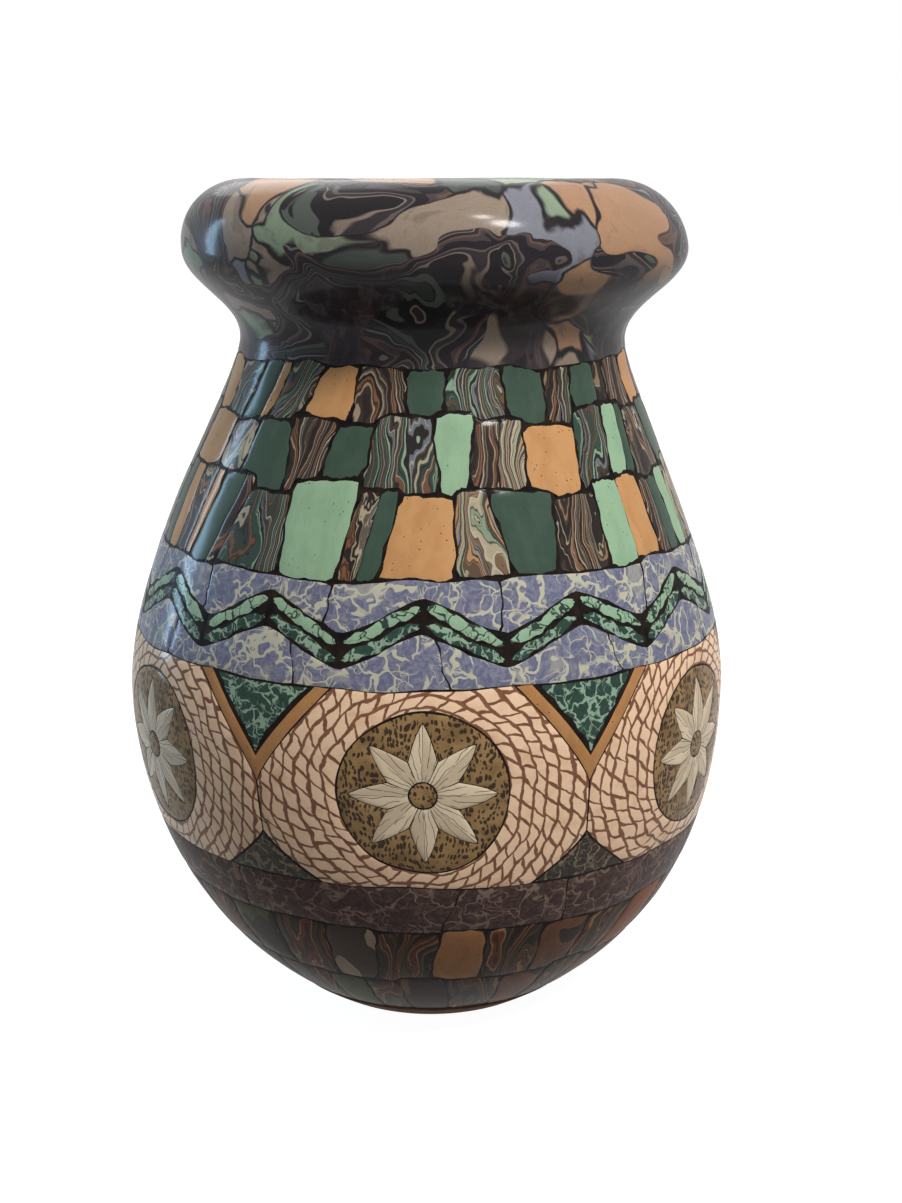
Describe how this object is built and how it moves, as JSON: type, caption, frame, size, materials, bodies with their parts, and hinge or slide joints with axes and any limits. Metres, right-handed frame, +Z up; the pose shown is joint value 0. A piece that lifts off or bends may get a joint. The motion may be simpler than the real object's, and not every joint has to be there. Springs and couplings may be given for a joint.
{
  "type": "ceramic vase",
  "caption": "Bulbous ceramic vase with a thick rolled rim, joined from inlaid slices, tiles and bands of coloured clay, open at the top.",
  "frame": {"origin": "middle of the flat ring that the vase stands on, at the height of that ring", "axes": "+Z up along the vase's axis of symmetry, -Y towards the front roundel, +X to the right of it"},
  "size_m": [0.1096, 0.1096, 0.15],
  "materials": {
    "bare_clay": "matt unglazed fired clay",
    "rust_tile_clay": "tiles of rust, olive and umber clay under clear gloss glaze",
    "periwinkle_clay": "blue-violet clay with pale veins under clear gloss glaze",
    "cream_clay": "cream-pink clay with fine rust lines under clear gloss glaze",
    "ochre_clay": "dark ochre clay flecked black under clear gloss glaze",
    "ivory_clay": "ivory clay under clear gloss glaze",
    "orange_clay": "tan-orange clay under clear gloss glaze",
    "deep_green_clay": "dark green clay with mint veins under clear gloss glaze",
    "umber_clay": "dark umber clay under clear gloss glaze",
    "mint_clay": "mint green clay under clear gloss glaze",
    "mint_tile_clay": "tiles of mint, orange, dark green and marbled clay under clear gloss glaze",
    "marbled_clay": "marbled aubergine, mint, orange and cream clay under clear gloss glaze",
    "ivory_glaze": "poured ivory gloss glaze, finely crackled"
  },
  "bodies": {
    "root": {"base_disc": "bare_clay", "lower_tile_course_1": "rust_tile_clay", "lower_tile_course_2": "rust_tile_clay", "lower_veined_band": "periwinkle_clay", "belly_band": "cream_clay", "roundel_ground_1": "ochre_clay", "roundel_ground_2": "ochre_clay", "roundel_ground_3": "ochre_clay", "roundel_ground_4": "ochre_clay", "roundel_ground_5": "ochre_clay", "roundel_ground_6": "ochre_clay", "roundel_star_1": "ivory_clay", "roundel_star_2": "ivory_clay", "roundel_star_3": "ivory_clay", "roundel_star_4": "ivory_clay", "roundel_star_5": "ivory_clay", "roundel_star_6": "ivory_clay", "spandrel_border_1": "orange_clay", "spandrel_border_2": "orange_clay", "spandrel_border_3": "orange_clay", "spandrel_border_4": "orange_clay", "spandrel_border_5": "orange_clay", "spandrel_border_6": "orange_clay", "spandrel_heart_1": "deep_green_clay", "spandrel_heart_2": "deep_green_clay", "spandrel_heart_3": "deep_green_clay", "spandrel_heart_4": "deep_green_clay", "spandrel_heart_5": "deep_green_clay", "spandrel_heart_6": "deep_green_clay", "lower_spandrel_1": "umber_clay", "lower_spandrel_2": "umber_clay", "lower_spandrel_3": "umber_clay", "lower_spandrel_4": "umber_clay", "lower_spandrel_5": "umber_clay", "lower_spandrel_6": "umber_clay", "veined_band_below_ribbons": "periwinkle_clay", "zigzag_ribbon_dark": "deep_green_clay", "zigzag_ribbon_mint": "mint_clay", "veined_band_above_ribbons": "periwinkle_clay", "shoulder_tile_course_1": "mint_tile_clay", "shoulder_tile_course_2": "mint_tile_clay", "shoulder_tile_course_3": "mint_tile_clay", "neck_collar": "marbled_clay", "rim_roll": "marbled_clay", "body_glaze": "ivory_glaze", "throat_glaze": "ivory_glaze"}
  },
  "joints": []
}
